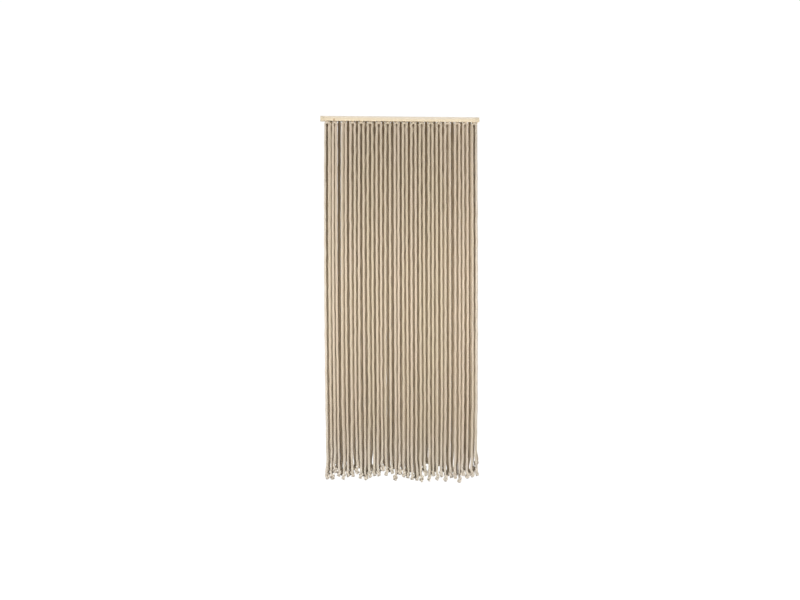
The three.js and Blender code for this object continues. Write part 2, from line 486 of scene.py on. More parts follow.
class LegLine:
    """Lays a leg's line and ties its knot."""

    WAVES = (0.21, 0.125, 0.078)
    WAVE_SIZE = {Row.FRONT: 0.0010, Row.BACK: 0.0003}
    WAVE_GROWS_OVER = 0.15
    BOW_SHAPE = 0.43

    def __init__(
        self,
        leg: Leg,
        row: Row,
        reach: float,
        knot: KnotPath,
        rng: np.random.Generator,
        gap: tuple["LegLine", "LegLine"] | None = None,
    ) -> None:
        """Draws what is irregular about one leg.

        Args:
            leg: How the leg hangs.
            row: The row that it hangs in.
            reach: How far it hangs to the right of its loop's middle.
            knot: The form of its stopper knot.
            rng: The source of its waves, its knot's hand and its tail's length and slant.
            gap: The two legs in front that it hangs behind the gap of, for the back row.
        """
        self.gap = gap
        self.leg = leg
        self.row = row
        self.reach = reach
        self.knot = knot
        self.mirrored = bool(rng.random() < 0.5)
        self.tail_length = float(rng.uniform(*TAIL_LENGTH))
        # A back rope hangs by the wall, so its tail slants to the front only.
        most = TAIL_SLANT if row is Row.FRONT else 0.0
        self.tail_slant = float(rng.uniform(-TAIL_SLANT, most))
        self.across = Wander(rng, self.WAVES)
        self.along = Wander(rng, self.WAVES)

    def hanging(self, depth: np.ndarray) -> np.ndarray:
        """The leg's line without its knot.

        Args:
            depth: How far below the rail's underside each point is.

        Returns:
            A point for each depth.
        """
        leg = self.leg
        below_arch = depth - self.row.arch_foot
        wave = self.WAVE_SIZE[self.row] * ease(below_arch / self.WAVE_GROWS_OVER)
        y = leg.y + leg.sway * (depth / leg.drop) ** 2 + wave * self.along(depth)
        x = self._behind_gap(depth) if self.gap else self._in_front(depth)
        return np.stack([x + wave * self.across(depth), y, RAIL_LOW.z - depth], axis=1)

    def _in_front(self, depth: np.ndarray) -> np.ndarray:
        """How far across a leg of the front row hangs, its fine waves left out."""
        leg, foot = self.leg, self.row.arch_foot
        below_arch = ease((depth - foot) / (NECK_DEPTH - foot))
        below_neck = ease((depth - NECK_DEPTH) / (NECK_END - NECK_DEPTH))
        share = ARCH_SHARE + (NECK_SHARE - ARCH_SHARE) * below_arch + (1 - NECK_SHARE) * below_neck
        above = np.clip((leg.drop - depth) / BOW_LENGTH, 0.0, 1.0)
        bow = leg.bow * np.sin(math.pi * above**self.BOW_SHAPE)
        belly = BELLY * leg.x / RAIL_HIGH.x * np.sin(math.pi * np.clip(depth / leg.drop, 0, 1))
        return leg.x + leg.drift * (depth / leg.drop) ** 2 + self.reach * (share - 1) + bow + belly

    def _behind_gap(self, depth: np.ndarray) -> np.ndarray:
        """How far across a leg of the back row hangs: it keeps behind the middle of its gap."""
        left, right = (neighbour.hanging(depth)[:, 0] for neighbour in self.gap)
        regular = sum(neighbour.leg.x for neighbour in self.gap) / 2
        followed = (left + right) / 2 - regular
        return self.leg.x + followed * ease((depth - self.row.arch_foot) / GAP_FOLLOWED_OVER)

    def knotted(self, turn: float) -> np.ndarray:
        """The knot's line from its top end to the tip of its tail, turned about the plumb line."""
        size = STOCK.knotted_thickness
        line = self.knot.line.copy()
        if self.mirrored:
            line[:, 0] *= -1
        c, s = math.cos(turn), math.sin(turn)
        x = line[:, 0] * c - line[:, 1] * s
        y = line[:, 0] * s + line[:, 1] * c
        line = np.stack([x, y, line[:, 2]], axis=1) * size
        body = line[: self.knot.tail_start + 1]
        lean = math.radians(self.leg.tail)
        aim = unit(np.array([math.sin(lean), self.tail_slant, -math.cos(lean)]))
        heading = unit(body[-1] - body[-2])
        step = size * TAIL_STEP
        tail = [body[-1]]
        for n in range(max(2, round(self.tail_length * size / step))):
            heading = unit(heading + TAIL_BEND * aim)
            tail.append(tail[-1] + heading * step)
        return np.vstack([body, tail[1:]]) + self.leg.knot_middle

    def laid(self, turn: float) -> TiedLeg:
        """The whole leg with its knot turned by an angle."""
        knot = self.knotted(turn)
        end_depth = RAIL_LOW.z - knot[0, 2]
        depth = np.arange(self.row.arch_foot, end_depth, LINE_STEP)
        line = self.hanging(depth)
        end = self.hanging(np.array([end_depth]))[0]
        knot[:, 0] += KNOT_GIVES_WAY[self.row] * (end[0] - knot[0, 0])
        approach = ease((depth - (end_depth - KNOT_APPROACH)) / KNOT_APPROACH)
        line += approach[:, None] * (knot[0] - end)
        whole = np.vstack([line, knot])
        near = slice(len(line) - JOIN_POINTS, len(line) + JOIN_POINTS)
        for _ in range(JOIN_ROUNDS):
            inner = (whole[:-2] + whole[2:]) / 2
            part = whole[near]
            part += 0.5 * (inner[near.start - 1 : near.stop - 1] - part)
        runs = run_lengths(whole)
        return TiedLeg(whole, float(runs[len(line)]), float(runs[-1]))


def clearance(line: np.ndarray, others: list[np.ndarray]) -> float:
    """The least distance from a line of points to the points of other lines.

    Args:
        line: The points that are tested.
        others: The lines that are already there.

    Returns:
        The distance between centrelines, and infinity where nothing is near.
    """
    low, high = line.min(axis=0) - NEARBY, line.max(axis=0) + NEARBY
    best = math.inf
    for other in others:
        near = other[((other > low) & (other < high)).all(axis=1)]
        if len(near):
            gaps = np.linalg.norm(line[:, None] - near[None], axis=2)
            best = min(best, float(gaps.min()))
    return best


@dataclass
class Hanger:
    """The low end of a leg as it lies among its neighbours.

    tied is the leg, ridge its radius where it hangs, and shift how far its knot has been pushed aside.
    low tells which of its points belong to the low end, follow how much each point goes with the knot,
    and radii how thick the low end is, with room for the frayed yarns at its tip.
    """

    FOLLOWS = 0.08
    REACH_UP = 0.20
    SWELLING = 1.04
    KNOT_STARTS, KNOT_DEEPENS = 0.002, 0.018
    FRAY_ROOM = 0.0026
    FRAY_STARTS, FRAY_FADES = 0.002, 0.006

    tied: TiedLeg
    ridge: float
    shift: np.ndarray

    def __post_init__(self) -> None:
        """Works out the low end from the tied leg."""
        runs = run_lengths(self.tied.line)
        inside = runs - self.tied.knot_start
        self.low = inside > -self.REACH_UP
        self.follow = ease((inside + self.FOLLOWS) / self.FOLLOWS)
        into = ease((inside[self.low] - self.KNOT_STARTS) / self.KNOT_DEEPENS)
        full = self.SWELLING * (self.ridge + (STOCK.knotted_ridge - self.ridge) * into)
        to_tip = inside[-1] - inside[self.low]
        self.radii = full + self.FRAY_ROOM * (1 - ease((to_tip - self.FRAY_STARTS) / self.FRAY_FADES))

    def points(self) -> np.ndarray:
        """The low end's points where they now are."""
        return self.tied.line[self.low] + self.follow[self.low, None] * self.shift

    def put(self) -> None:
        """Moves the leg's line to where it has settled."""
        self.tied.line = self.tied.line + self.follow[:, None] * self.shift


class Settling:
    """Lets the soft knots push each other and the legs beside them aside.

    It stops when they lie clear, or after its last round. Some can still touch a neighbour then, and
    the log says how much was left to give.
    """

    ROUNDS = 80
    ROOM = 0.0005
    NEAR = 0.050
    FARTHEST = 0.009
    WALL_ROOM = 0.0004
    EAGERNESS = 0.7
    LEAST_GIVE = 0.02

    def __init__(self, hangers: list[Hanger]) -> None:
        """Notes which legs hang near each other."""
        self.hangers = hangers
        feet = np.array([hanger.points()[-1, 0] for hanger in hangers])
        first, second = np.triu_indices(len(hangers), 1)
        near = np.abs(feet[first] - feet[second]) < self.NEAR
        self.pairs = list(zip(first[near].tolist(), second[near].tolist()))

    def settle(self) -> None:
        """Pushes neighbours apart round by round, and then moves the legs' lines."""
        deepest = 0.0
        for _ in range(self.ROUNDS):
            places = [hanger.points() for hanger in self.hangers]
            deepest = max((self._part(i, j, places) for i, j in self.pairs), default=0.0)
            for hanger in self.hangers:
                self._keep_in(hanger)
            if deepest < self.ROOM / 2:
                break
        log.info("the knots have settled with %.2f mm still to give", deepest * 1000)
        for hanger in self.hangers:
            hanger.put()

    def _part(self, i: int, j: int, places: list[np.ndarray]) -> float:
        """Pushes two legs apart at their deepest contact.

        Args:
            i: The first leg's number.
            j: The second leg's number.
            places: Where every leg's points are.

        Returns:
            How far they were in each other.
        """
        one, other = self.hangers[i], self.hangers[j]
        between = places[i][:, None] - places[j][None]
        span = np.sqrt((between**2).sum(axis=2))
        depth = one.radii[:, None] + other.radii[None] + self.ROOM - span
        a, b = np.unravel_index(int(depth.argmax()), depth.shape)
        if depth[a, b] <= 0:
            return 0.0
        give = one.follow[one.low][a], other.follow[other.low][b]
        total = give[0] ** 2 + give[1] ** 2
        if total > self.LEAST_GIVE:
            push = self.EAGERNESS * depth[a, b] / total * between[a, b] / span[a, b]
            one.shift = one.shift + give[0] * push
            other.shift = other.shift - give[1] * push
        return float(depth[a, b])

    def _keep_in(self, hanger: Hanger) -> None:
        """Keeps a knot off the wall, inside the curtain's sides and near its own place."""
        points = hanger.points()
        past_wall = float((points[:, 1] + hanger.radii).max()) - (RAIL_HIGH.y - self.WALL_ROOM)
        hanger.shift[1] -= max(0.0, past_wall)
        past_side = float((np.abs(points[:, 0]) + hanger.radii).max()) - RAIL_HIGH.x
        hanger.shift[0] -= max(0.0, past_side) * math.copysign(1.0, points[-1, 0])
        size = float(np.linalg.norm(hanger.shift))
        if size > self.FARTHEST:
            hanger.shift *= self.FARTHEST / size


@dataclass
class Course:
    """The places of a rope's rings and how far along it each is.

    knots are the places along it where its two knots end, arch where its arch begins and ends, ridge
    its radius where it hangs, and greys how greyed its two legs are.
    """

    SQUEEZE_FROM, SQUEEZE_OVER = 0.020, 0.018
    FLARE, FLARE_OVER = 0.0006, 0.009
    ARCH_FROM, ARCH_OVER = 0.003, 0.008

    line: np.ndarray
    runs: np.ndarray
    knots: tuple[float, float]
    arch: tuple[float, float]
    ridge: float
    greys: tuple[float, float]

    def from_end(self) -> np.ndarray:
        """How far each ring is from the nearer end of the rope."""
        return np.minimum(self.runs, self.runs[-1] - self.runs)

    def radii(self) -> np.ndarray:
        """The rope's radius at each ring: full where it hangs, squeezed in the knots and the arch."""
        into_left = ease((self.runs - self.knots[0] + self.SQUEEZE_FROM) / self.SQUEEZE_OVER)
        into_right = ease((self.knots[1] - self.runs + self.SQUEEZE_FROM) / self.SQUEEZE_OVER)
        tight = STOCK.knotted_ridge
        flare = self.FLARE * (1 - ease(self.from_end() / self.FLARE_OVER))
        outside = np.maximum(self.arch[0] - self.runs, self.runs - self.arch[1])
        hanging = ease((outside + self.ARCH_FROM) / self.ARCH_OVER)
        full = STOCK.arch_ridge + (self.ridge - STOCK.arch_ridge) * hanging
        return tight + (full - tight) * np.minimum(into_left, into_right) + flare

    def grey(self) -> np.ndarray:
        """How greyed each ring is, from one leg's value to the other's over the arch."""
        share = ease((self.runs - self.arch[0]) / (self.arch[1] - self.arch[0]))
        return self.greys[0] + (self.greys[1] - self.greys[0]) * share


@dataclass
class Rope:
    """One rope of the curtain: two tied legs and the arch between them."""

    row: Row
    number: int
    legs: tuple[Leg, Leg]
    lines: tuple[LegLine, LegLine]
    tied: list[TiedLeg]

    @property
    def node(self) -> str:
        """The frame's node that this rope stands for."""
        return f"{self.row.label}_rope_{self.number:02d}"

    @property
    def name(self) -> str:
        """The name of the finished piece."""
        return f"{self.row.label}_twisted_rope_{self.number:02d}"

    def arch(self) -> np.ndarray:
        """The line of the arch under the rail, from the left leg to the right one."""
        feet = np.array([[leg.x, leg.y] for leg in self.legs])
        middle, reach = feet.mean(axis=0), (feet[1] - feet[0]) / 2
        turn = np.linspace(math.pi, 0, ARCH_POINTS)[1:-1]
        line = np.empty((len(turn), 3))
        share = ARCH_SHARE if self.row is Row.FRONT else 1.0
        line[:, :2] = middle + share * np.cos(turn)[:, None] * reach
        line[:, 2] = RAIL_LOW.z - self.row.crown - ARCH_RISE * (1 - np.sin(turn))
        return line

    def course(self) -> Course:
        """The rope's whole course from the left tail over the arch to the right tail."""
        left, right = self.tied
        whole = np.vstack([left.line[::-1], self.arch(), right.line])
        total = run_lengths(whole)[-1]
        knots = (left.tip_run - left.knot_start, total - right.tip_run + right.knot_start)
        marks = (
            0.0,
            knots[0] + KNOT_MARGIN,
            left.tip_run - NECK_END,
            total - right.tip_run + NECK_END,
            knots[1] - KNOT_MARGIN,
            total,
        )
        steps = (STOCK.knot_step, STOCK.leg_step, STOCK.arch_step, STOCK.leg_step, STOCK.knot_step)
        stretches = [
            np.linspace(start, end, round((end - start) / step), endpoint=False)
            for start, end, step in zip(marks, marks[1:], steps)
        ]
        runs = np.append(np.concatenate(stretches), total)
        arch = (left.tip_run, total - right.tip_run)
        greys = (self.legs[0].grey, self.legs[1].grey)
        return Course(points_at(whole, runs), runs, knots, arch, self.ridge(), greys)

    def ridge(self) -> float:
        """The rope's radius: a rope of the back row is made thicker, to fill the gap in front of it."""
        if self.row is Row.FRONT:
            return STOCK.ridge
        gap = max(line.gap[1].leg.x - line.gap[0].leg.x for line in self.lines)
        apart = self.legs[1].x - self.legs[0].x
        full = float(np.clip(gap / 2 - STOCK.ridge + STOCK.back_lap, *STOCK.back_ridges))
        return min(full, apart / 2 - STOCK.leg_room)


def travelling_frames(line: np.ndarray) -> tuple[np.ndarray, np.ndarray, np.ndarray]:
    """Axes that go along a line without turning about it.

    Args:
        line: The points of the line.

    Returns:
        For each point the direction of the line, and two directions across it.
    """
    along = unit(np.gradient(line, axis=0))
    across = np.empty_like(line)
    across[0] = unit(np.cross(along[0], [0.0, 1.0, 0.0]))
    for i in range(len(line) - 1):
        chord = line[i + 1] - line[i]
        size = chord @ chord
        turned = across[i] - 2 * (chord @ across[i]) / size * chord
        heading = along[i] - 2 * (chord @ along[i]) / size * chord
        fix = along[i + 1] - heading
        size = fix @ fix
        across[i + 1] = turned - (2 * (fix @ turned) / size * fix if size > 1e-14 else 0.0)
    return along, across, np.cross(along, across)


class Threads:
    """The vertices, faces and surface values of one rope's mesh, gathered part by part."""

    # groove holds how much painted shade each vertex gets in the rope's grooves.
    GROOVE, WEAR, TONE = "groove", "wear", "tone"
    LAY_MAP = "lay"

    def __init__(self) -> None:
        """Starts with nothing."""
        self.vertices: list[np.ndarray] = []
        self.faces: list[list[int]] = []
        self.corners: list[tuple[float, float]] = []
        self.values: dict[str, list[np.ndarray]] = {self.GROOVE: [], self.WEAR: [], self.TONE: []}
        self.count = 0

    def add(
        self,
        vertices: np.ndarray,
        faces: list[list[int]],
        corners: list[tuple[float, float]],
        groove: np.ndarray,
        wear: np.ndarray,
        tone: np.ndarray,
    ) -> None:
        """Adds a part.

        Args:
            vertices: Its vertices.
            faces: Its faces, as numbers of its own vertices.
            corners: A place on the lay map for each corner of each face.
            groove: How deep in a groove each vertex is, from 0 to 1, which sets how much painted shade it
                gets.
            wear: How worn and grey each vertex is, from 0 to 1.
            tone: How warm the cotton is at each vertex, about 0.
        """
        self.faces += [[self.count + n for n in face] for face in faces]
        self.corners += corners
        self.vertices.append(vertices)
        for key, value in ((self.GROOVE, groove), (self.WEAR, wear), (self.TONE, tone)):
            self.values[key].append(value)
        self.count += len(vertices)

    def mesh(self, name: str) -> bpy.types.Mesh:
        """The finished mesh, smooth all over."""
        mesh = bpy.data.meshes.new(name)
        mesh.from_pydata(np.concatenate(self.vertices).tolist(), [], self.faces)
        lay = mesh.uv_layers.new(name=self.LAY_MAP)
        lay.uv.foreach_set("vector", np.array(self.corners, np.float32).ravel())
        for key, parts in self.values.items():
            layer = mesh.attributes.new(key, "FLOAT", "POINT")
            layer.data.foreach_set("value", np.concatenate(parts).astype(np.float32))
        mesh.shade_smooth()
        return mesh


class RopeSweep:
    """Sweeps the twisted section of the rope along its course."""

    DOME = ((0.0017, 0.45), (0.0011, 0.82))
    PLUMPNESS = 0.022
    PLUMP_WAVES = (0.31, 0.17, 0.09)
    TONE_DRIFT = 0.35
    TONE_WAVES = (1.9, 0.8, 0.33)
    STRAND_ROUNDNESS = 2.2
    WORN_LENGTH = 0.45
    POLE_OUT = 0.0004
    KNOT_REACH, KNOT_FADE = 0.12, 0.04
    # How much less of the grooves' painted shade the knots get.
    KNOT_SHADE = 0.6

    def __init__(
        self, course: Course, groove_depth: float, tone: float, rng: np.random.Generator
    ) -> None:
        """Lays the rings.

        Args:
            course: The rope's course.
            groove_depth: How deep the grooves between its strands are, as a share of its radius.
            tone: How much warmer than the others this rope is.
            rng: The source of its irregularities.
        """
        self.groove_depth = groove_depth
        line, runs, radii = course.line, course.runs, course.radii()
        first, last = unit(line[0] - line[1]), unit(line[-1] - line[-2])
        heights = np.array([height for height, _ in self.DOME])
        shares = np.array([share for _, share in self.DOME])
        start, end = line[0] + heights[:, None] * first, line[-1] + heights[::-1, None] * last
        self.line = np.vstack([start, line, end])
        self.runs = np.concatenate([-heights, runs, runs[-1] + heights[::-1]])
        self.radii = np.concatenate([radii[0] * shares, radii, radii[-1] * shares[::-1]])
        self.along, self.across, self.aside = travelling_frames(self.line)
        self.plump = [Wander(rng, self.PLUMP_WAVES) for _ in range(STOCK.strands)]
        self.from_end = np.concatenate([0 * heights, course.from_end(), 0 * heights])
        grey = course.grey()
        self.grey = np.concatenate([0 * heights + grey[0], grey, 0 * heights + grey[-1]])
        self.tone = tone + self.TONE_DRIFT * Wander(rng, self.TONE_WAVES)(self.runs)

    def wear(self) -> np.ndarray:
        """How worn each ring is: the tails and the knots the most."""
        return np.maximum(self.grey, 1 - ease(self.from_end / self.WORN_LENGTH))

    def gather(self, threads: Threads) -> None:
        """Adds the swept rope to the mesh's threads."""
        columns, rings = STOCK.columns, len(self.line)
        place = np.arange(columns) / columns
        around = place[None, :] + self.runs[:, None] / STOCK.lay
        across_strand = 2 * ((place * STOCK.strands) % 1) - 1
        strand = np.floor(place * STOCK.strands).astype(int)
        share = 1 - self.groove_depth * np.abs(across_strand) ** self.STRAND_ROUNDNESS
        plump = np.stack([wander(self.runs) for wander in self.plump], axis=1)[:, strand]
        size = self.radii[:, None] * share * (1 + self.PLUMPNESS * plump)
        angle = 2 * math.pi * around
        cos, sin = np.cos(angle)[..., None], np.sin(angle)[..., None]
        out = cos * self.across[:, None] + sin * self.aside[:, None]
        vertices = (self.line[:, None] + size[..., None] * out).reshape(-1, 3)
        out_by = np.array([[-self.POLE_OUT], [self.POLE_OUT]])
        poles = self.line[[0, -1]] + out_by * self.along[[0, -1]]
        faces, corners = self._skin(rings, columns, around)
        every = np.repeat(self.wear(), columns), np.repeat(self.tone, columns)
        # The mask of the grooves' painted shade, lessened inside the knots.
        in_knot = 1 - ease((self.from_end - self.KNOT_REACH) / self.KNOT_FADE)
        groove = np.outer(1 - self.KNOT_SHADE * in_knot, np.abs(across_strand) ** 3).ravel()
        threads.add(
            np.vstack([vertices, poles]),
            faces,
            corners,
            np.append(groove, [0.0, 0.0]),
            np.append(every[0], [1.0, 1.0]),
            np.append(every[1], self.tone[[0, -1]]),
        )

    def _skin(
        self, rings: int, columns: int, around: np.ndarray
    ) -> tuple[list[list[int]], list[tuple[float, float]]]:
        """The faces of the sweep, its ends closed, and their corners on the lay map."""
        ring, column = np.meshgrid(np.arange(rings - 1), np.arange(columns), indexing="ij")
        after = (column + 1) % columns
        low, high = ring * columns, (ring + 1) * columns
        quads = np.stack([low + column, low + after, high + after, high + column], axis=-1).reshape(-1, 4)
        step = 1 / columns
        turn = np.stack([around[:-1], around[:-1] + step, around[1:] + step, around[1:]], axis=-1)
        run = np.stack([self.runs[ring], self.runs[ring], self.runs[ring + 1], self.runs[ring + 1]], axis=-1)
        corners = np.stack([turn, run], axis=-1).reshape(-1, 2).tolist()
        faces = quads.tolist()
        last = (rings - 1) * columns
        for n in range(columns):
            m = (n + 1) % columns
            faces.append([rings * columns, m, n])
            faces.append([rings * columns + 1, last + n, last + m])
            corners += [(0.0, 0.0)] * 6
        return faces, corners


class FrayedEnd:
    """The loose yarns that stand out of a rope's cut end."""

    YARNS = 14
    SIDES = 3
    LENGTH = (0.0028, 0.0056)
    THICKNESS = 0.0007
    SUNK = 0.0022
    TURN, TURN_JITTER = 2.4, 0.4
    SPREAD = 0.86
    LEAN = (0.2, 0.8)
    CURL = 0.22
    # A little of the grooves' painted shade on every yarn.
    GROOVE = 0.2
    SECTIONS = ((0.0, 0.8), (0.35, 1.0), (0.75, 0.75))

    def __init__(
        self, tip: np.ndarray, heading: np.ndarray, radius: float, rng: np.random.Generator
    ) -> None:
        """Notes where the yarns stand.

        Args:
            tip: The middle of the cut end.
            heading: The way that the rope's end points.
            radius: The radius of the cut end.
            rng: The source of the yarns' places and lengths.
        """
        self.tip = tip
        self.heading = unit(heading)
        self.radius = radius
        self.rng = rng

    def gather(self, threads: Threads, tone: float) -> None:
        """Adds the yarns to the mesh's threads.

        Args:
            threads: What the rope's mesh is gathered in.
            tone: How warm the cotton is here.
        """
        side = unit(np.cross(self.heading, [0.31, 0.86, 0.4]))
        other = np.cross(self.heading, side)
        for n in range(self.YARNS):
            turn = n * self.TURN + self.rng.uniform(-self.TURN_JITTER, self.TURN_JITTER)
            out = math.cos(turn) * side + math.sin(turn) * other
            share = math.sqrt((n + 0.5) / self.YARNS) * self.SPREAD
            lean = unit(self.heading + out * share * self.rng.uniform(*self.LEAN))
            foot = self.tip + out * share * self.radius - self.SUNK * self.heading
            length = float(self.rng.uniform(*self.LENGTH)) + self.SUNK
            self._yarn(threads, foot, lean, length, tone)

    def _yarn(
        self, threads: Threads, foot: np.ndarray, lean: np.ndarray, length: float, tone: float
    ) -> None:
        """Adds one closed, tapering yarn."""
        curl = unit(np.cross(lean, self.rng.normal(size=3))) * length * self.CURL
        side = unit(np.cross(lean, [0.2, 0.1, 0.97]))
        other = np.cross(lean, side)
        rings = []
        for share, size in self.SECTIONS:
            centre = foot + lean * length * share + curl * share**2
            for k in range(self.SIDES):
                angle = 2 * math.pi * k / self.SIDES
                out = math.cos(angle) * side + math.sin(angle) * other
                rings.append(centre + out * self.THICKNESS * size)
        rings.append(foot + lean * length + curl)
        faces = [[2, 1, 0]]
        for ring in range(len(self.SECTIONS) - 1):
            low, high = ring * self.SIDES, (ring + 1) * self.SIDES
            for k in range(self.SIDES):
                m = (k + 1) % self.SIDES
                faces.append([low + k, low + m, high + m, high + k])
        top, point = (len(self.SECTIONS) - 1) * self.SIDES, len(rings) - 1
        faces += [[top + k, top + (k + 1) % self.SIDES, point] for k in range(self.SIDES)]
        corners = [(0.0, 0.0) for face in faces for _ in face]
        ones = np.ones(len(rings))
        threads.add(np.array(rings), faces, corners, self.GROOVE * ones, ones, tone * ones)


# ---------------------------------------------------------------------------------------------
# Finishes
# ---------------------------------------------------------------------------------------------


def tint(red: int, green: int, blue: int) -> tuple[float, float, float, float]:
    """A colour given as it looks on a screen, from 0 to 255, as the shader's linear colour."""
    shares = [value / 255 for value in (red, green, blue)]
    linear = [x / 12.92 if x <= 0.04045 else ((x + 0.055) / 1.055) ** 2.4 for x in shares]
    return (*linear, 1.0)


class Wiring:
    """Adds the nodes of one shader tree and joins them."""

    def __init__(self, tree: bpy.types.NodeTree) -> None:
        """Works on a tree."""
        self.tree = tree

    def add(self, kind: str, **settings: object) -> bpy.types.Node:
        """Adds a node and sets its properties."""
        node = self.tree.nodes.new(kind)
        for key, value in settings.items():
            setattr(node, key, value)
        return node

    def feed(self, node: bpy.types.Node, socket: int | str, source: object) -> None:
        """Sets an input of a node, by a joint to another node's output or by a plain value."""
        if isinstance(source, bpy.types.NodeSocket):
            self.tree.links.new(source, node.inputs[socket])
        else:
            node.inputs[socket].default_value = source

    def sum(self, operation: str, *values: object) -> bpy.types.NodeSocket:
        """The result of one Math node."""
        node = self.add("ShaderNodeMath", operation=operation)
        for i, value in enumerate(values):
            self.feed(node, i, value)
        return node.outputs[0]

    def blend(self, share: object, first: object, second: object, how: str = "MIX") -> bpy.types.NodeSocket:
        """Two colours mixed."""
        node = self.add("ShaderNodeMix", data_type="RGBA", blend_type=how)
        for socket, value in ((0, share), (6, first), (7, second)):
            self.feed(node, socket, value)
        return node.outputs[2]

    def rise(self, value: object, start: float, end: float) -> bpy.types.NodeSocket:
        """A mask that goes smoothly from 0 to 1 as a value goes from start to end."""
        node = self.add("ShaderNodeMapRange", interpolation_type="SMOOTHSTEP")
        for socket, number in ((0, value), (1, start), (2, end), (3, 0.0), (4, 1.0)):
            self.feed(node, socket, number)
        return node.outputs[0]

    def noise(self, vector: object, scale: float, detail: float = 2.0) -> bpy.types.NodeSocket:
        """A noise from 0 to 1."""
        node = self.add("ShaderNodeTexNoise")
        self.feed(node, "Vector", vector)
        self.feed(node, "Scale", scale)
        self.feed(node, "Detail", detail)
        return node.outputs[0]

    def stretched(self, vector: object, scale: tuple[float, float, float]) -> bpy.types.NodeSocket:
        """A place on the surface, scaled differently along each axis."""
        node = self.add("ShaderNodeMapping")
        self.feed(node, "Vector", vector)
        node.inputs["Scale"].default_value = scale
        return node.outputs[0]

    def relief(self, height: object, strength: float, depth: float) -> bpy.types.NodeSocket:
        """The normal of a surface with fine relief."""
        node = self.add("ShaderNodeBump")
        node.inputs["Strength"].default_value = strength
        node.inputs["Distance"].default_value = depth
        self.feed(node, "Height", height)
        return node.outputs[0]


def streaks_group() -> bpy.types.ShaderNodeTree:
    """The shader group that draws fine streaks and a slow mottle, for cotton and wood alike.

    Returns:
        A group that takes a place on the surface, already scaled so that the streaks run right, and
        puts out Streaks and Mottle, both masks from 0 to 1.
    """
    tree = bpy.data.node_groups.new("fine_streaks", "ShaderNodeTree")
    for name, kind in (("Streak Place", "NodeSocketVector"), ("Mottle Place", "NodeSocketVector")):
        tree.interface.new_socket(name, in_out="INPUT", socket_type=kind)
    for name in ("Streaks", "Mottle"):
        tree.interface.new_socket(name, in_out="OUTPUT", socket_type="NodeSocketFloat")
    wires = Wiring(tree)
    inlet, outlet = wires.add("NodeGroupInput"), wires.add("NodeGroupOutput")
    fine = wires.noise(inlet.outputs[0], 1.0, 3.0)
    coarse = wires.noise(inlet.outputs[0], 0.37, 2.0)
    both = wires.sum("MULTIPLY_ADD", fine, 0.6, wires.sum("MULTIPLY", coarse, 0.4))
    wires.feed(outlet, 0, wires.rise(both, 0.32, 0.68))
    wires.feed(outlet, 1, wires.rise(wires.noise(inlet.outputs[1], 1.0, 3.0), 0.3, 0.7))
    return tree


class Finish:
    """A material that is built once and then laid on as many pieces as need it."""

    name = "finish"

    def __init__(self) -> None:
        """Builds nothing yet."""
        self._made: bpy.types.Material | None = None

    def material(self) -> bpy.types.Material:
        """The material, built at its first use."""
        if self._made is None:
            self._made = bpy.data.materials.new(self.name)
            self._made.use_nodes = True
            self._made.node_tree.nodes.clear()
            wires = Wiring(self._made.node_tree)
            outlet = wires.add("ShaderNodeOutputMaterial")
            wires.feed(outlet, "Surface", self.shader(wires))
        return self._made

    def shader(self, wires: Wiring) -> bpy.types.NodeSocket:
        """Wires the material's nodes and returns its shader."""
        raise NotImplementedError


